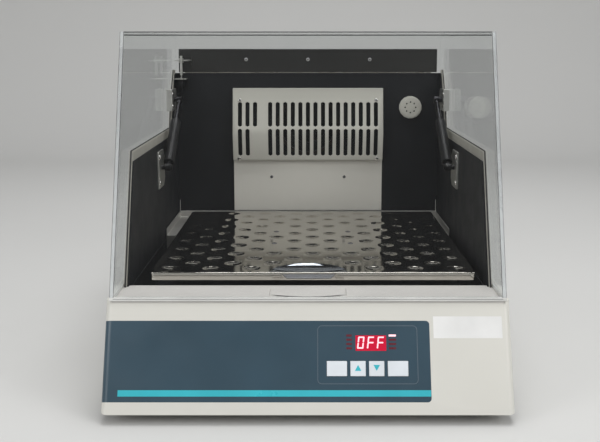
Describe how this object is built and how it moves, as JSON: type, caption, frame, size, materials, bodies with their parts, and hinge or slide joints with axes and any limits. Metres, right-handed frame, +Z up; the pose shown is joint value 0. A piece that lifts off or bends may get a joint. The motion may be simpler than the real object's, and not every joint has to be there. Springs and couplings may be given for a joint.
{
  "type": "incubated benchtop shaker",
  "caption": "Incubated benchtop shaker: an orbiting dimpled platform in a heated chamber under a clear hinged lid, with a sloped keypad front.",
  "frame": {"origin": "on the floor under the middle of the bounding box", "axes": "+X to the viewer's right, -Y to the front with the keypad, +Z up"},
  "size_m": [0.5334, 0.7112, 0.4998],
  "materials": {
    "housing": "light grey enamel, satin",
    "deck": "light grey enamel, satin",
    "wall": "beige enamel, satin",
    "cover": "warm grey enamel, satin",
    "liner": "black, slightly mottled",
    "black": "black, matt",
    "rubber": "black, matt",
    "steel": "stainless, satin",
    "bright": "bright plated",
    "cast": "as cast",
    "iron": "machined",
    "clear": "clear acrylic sheet",
    "strip": "whitish, glossy",
    "dark_plate": "dark grey, satin",
    "overlay": "dark slate film, satin",
    "window": "dark red filter",
    "key_grey": "pale grey film",
    "key_teal": "teal film",
    "board": "green circuit board",
    "motor": "black enamel",
    "heater": "oxidised sheath"
  },
  "bodies": {
    "base": {"base_shell": "housing", "bottom_plate": "housing", "feet": "rubber", "top_deck": "deck", "side_wall_left": "wall", "side_wall_right": "wall", "side_liners": "liner", "wall_gaskets": "rubber", "rear_wall": "liner", "rear_housing": "housing", "chamber_tub": "steel", "air_deck": "steel", "vent_cover": "cover", "baffle_panel": "cover", "blower": "black", "heater_ring": "heater", "sensor_cap": "bright", "temperature_probe": "steel", "base_hinge_leaf": "steel", "strut_brackets_lower": "steel", "lid_switch": "steel", "drive_casting": "cast", "drive_motor": "motor", "drive_belt": "rubber", "control_overlay": "overlay", "display_window": "window", "control_board": "board", "power_inlet": "black", "power_switch_frame": "black"},
    "lid": {"lid_front_panel": "clear", "lid_top_panel": "clear", "lid_rear_panel": "clear", "lid_left_panel": "clear", "lid_right_panel": "clear", "lid_foot_strip": "strip", "hinge_plate": "dark_plate", "lid_hinge_leaf": "steel", "strut_brackets_upper": "steel", "striker_bracket": "steel"},
    "shaking_platform": {"platform": "steel", "platform_carrier": "cast"},
    "strut_cylinder_left_body": {"strut_cylinder_left": "black"},
    "strut_cylinder_right_body": {"strut_cylinder_right": "black"},
    "strut_rod_left_body": {"strut_rod_left": "bright"},
    "strut_rod_right_body": {"strut_rod_right": "bright"},
    "drive_crank_body": {"drive_crank": "iron"},
    "idler_crank_1_body": {"idler_crank_1": "iron"},
    "idler_crank_2_body": {"idler_crank_2": "iron"},
    "motor_pulley_body": {"motor_pulley": "cast"},
    "fan_wheel_body": {"fan_wheel": "black"},
    "switch_plunger_body": {"switch_plunger": "bright"},
    "start_key_body": {"start_key": "key_grey"},
    "up_key_body": {"up_key": "key_teal"},
    "down_key_body": {"down_key": "key_teal"},
    "select_key_body": {"select_key": "key_grey"},
    "power_rocker_body": {"power_rocker": "black"}
  },
  "joints": [
    {"name": "lid_hinge", "type": "hinge", "parent": "base", "child": "lid", "pos_m": [0, 0.316, 0.4275], "axis": [-1, 0, 0], "range_deg": [0, 50]},
    {"name": "strut_swing_left", "type": "hinge", "parent": "base", "child": "strut_cylinder_left_body", "pos_m": [-0.236, 0.053, 0.277], "axis": [1, 0, 0], "range_deg": [0, 18.81]},
    {"name": "strut_stroke_left", "type": "slide", "parent": "strut_cylinder_left_body", "child": "strut_rod_left_body", "axis": [0, 0.8218, 0.5698], "range_m": [0, 0.07656]},
    {"name": "strut_swing_right", "type": "hinge", "parent": "base", "child": "strut_cylinder_right_body", "pos_m": [0.236, 0.053, 0.277], "axis": [1, 0, 0], "range_deg": [0, 18.81]},
    {"name": "strut_stroke_right", "type": "slide", "parent": "strut_cylinder_right_body", "child": "strut_rod_right_body", "axis": [0, 0.8218, 0.5698], "range_m": [0, 0.07656]},
    {"name": "crank_spin", "type": "hinge", "parent": "base", "child": "drive_crank_body", "pos_m": [0, 0.0223, 0.06], "axis": [0, 0, 1], "continuous": true},
    {"name": "platform_orbit", "type": "hinge", "parent": "drive_crank_body", "child": "shaking_platform", "pos_m": [0.00728, 0.0119, 0.14], "axis": [0, 0, 1], "continuous": true},
    {"name": "idler_spin_1", "type": "hinge", "parent": "base", "child": "idler_crank_1_body", "pos_m": [0.06928, 0.0623, 0.06], "axis": [0, 0, 1], "continuous": true},
    {"name": "idler_spin_2", "type": "hinge", "parent": "base", "child": "idler_crank_2_body", "pos_m": [-0.06928, 0.0623, 0.06], "axis": [0, 0, 1], "continuous": true},
    {"name": "motor_spin", "type": "hinge", "parent": "base", "child": "motor_pulley_body", "pos_m": [-0.12, 0.308, 0.05], "axis": [0, 0, 1], "continuous": true},
    {"name": "fan_spin", "type": "hinge", "parent": "base", "child": "fan_wheel_body", "pos_m": [0, 0.29, 0.33], "axis": [0, 1, 0], "continuous": true},
    {"name": "start_key_press", "type": "slide", "parent": "base", "child": "start_key_body", "axis": [0, 0.9219, -0.3875], "range_m": [0, 0.0005], "stiffness_N_per_m": 600, "springref_m": -0.0005},
    {"name": "up_key_press", "type": "slide", "parent": "base", "child": "up_key_body", "axis": [0, 0.9219, -0.3875], "range_m": [0, 0.0005], "stiffness_N_per_m": 600, "springref_m": -0.0005},
    {"name": "down_key_press", "type": "slide", "parent": "base", "child": "down_key_body", "axis": [0, 0.9219, -0.3875], "range_m": [0, 0.0005], "stiffness_N_per_m": 600, "springref_m": -0.0005},
    {"name": "select_key_press", "type": "slide", "parent": "base", "child": "select_key_body", "axis": [0, 0.9219, -0.3875], "range_m": [0, 0.0005], "stiffness_N_per_m": 600, "springref_m": -0.0005},
    {"name": "plunger_press", "type": "slide", "parent": "base", "child": "switch_plunger_body", "axis": [0, 0, -1], "range_m": [0, 0.003], "stiffness_N_per_m": 100, "springref_m": -0.002},
    {"name": "rocker_tilt", "type": "hinge", "parent": "base", "child": "power_rocker_body", "pos_m": [0.14, 0.3493, 0.07], "axis": [1, 0, 0], "range_deg": [0, 10]}
  ],
  "couplings": [
    {"joint": "strut_swing_left", "follows": "lid_hinge", "ratio": 0.37016},
    {"joint": "strut_stroke_left", "follows": "lid_hinge", "m_per_rad": 0.087157},
    {"joint": "strut_swing_right", "follows": "lid_hinge", "ratio": 0.37016},
    {"joint": "strut_stroke_right", "follows": "lid_hinge", "m_per_rad": 0.087157},
    {"joint": "platform_orbit", "follows": "crank_spin", "ratio": -1},
    {"joint": "idler_spin_1", "follows": "crank_spin", "ratio": 1},
    {"joint": "idler_spin_2", "follows": "crank_spin", "ratio": 1},
    {"joint": "motor_spin", "follows": "crank_spin", "ratio": 3.875}
  ]
}
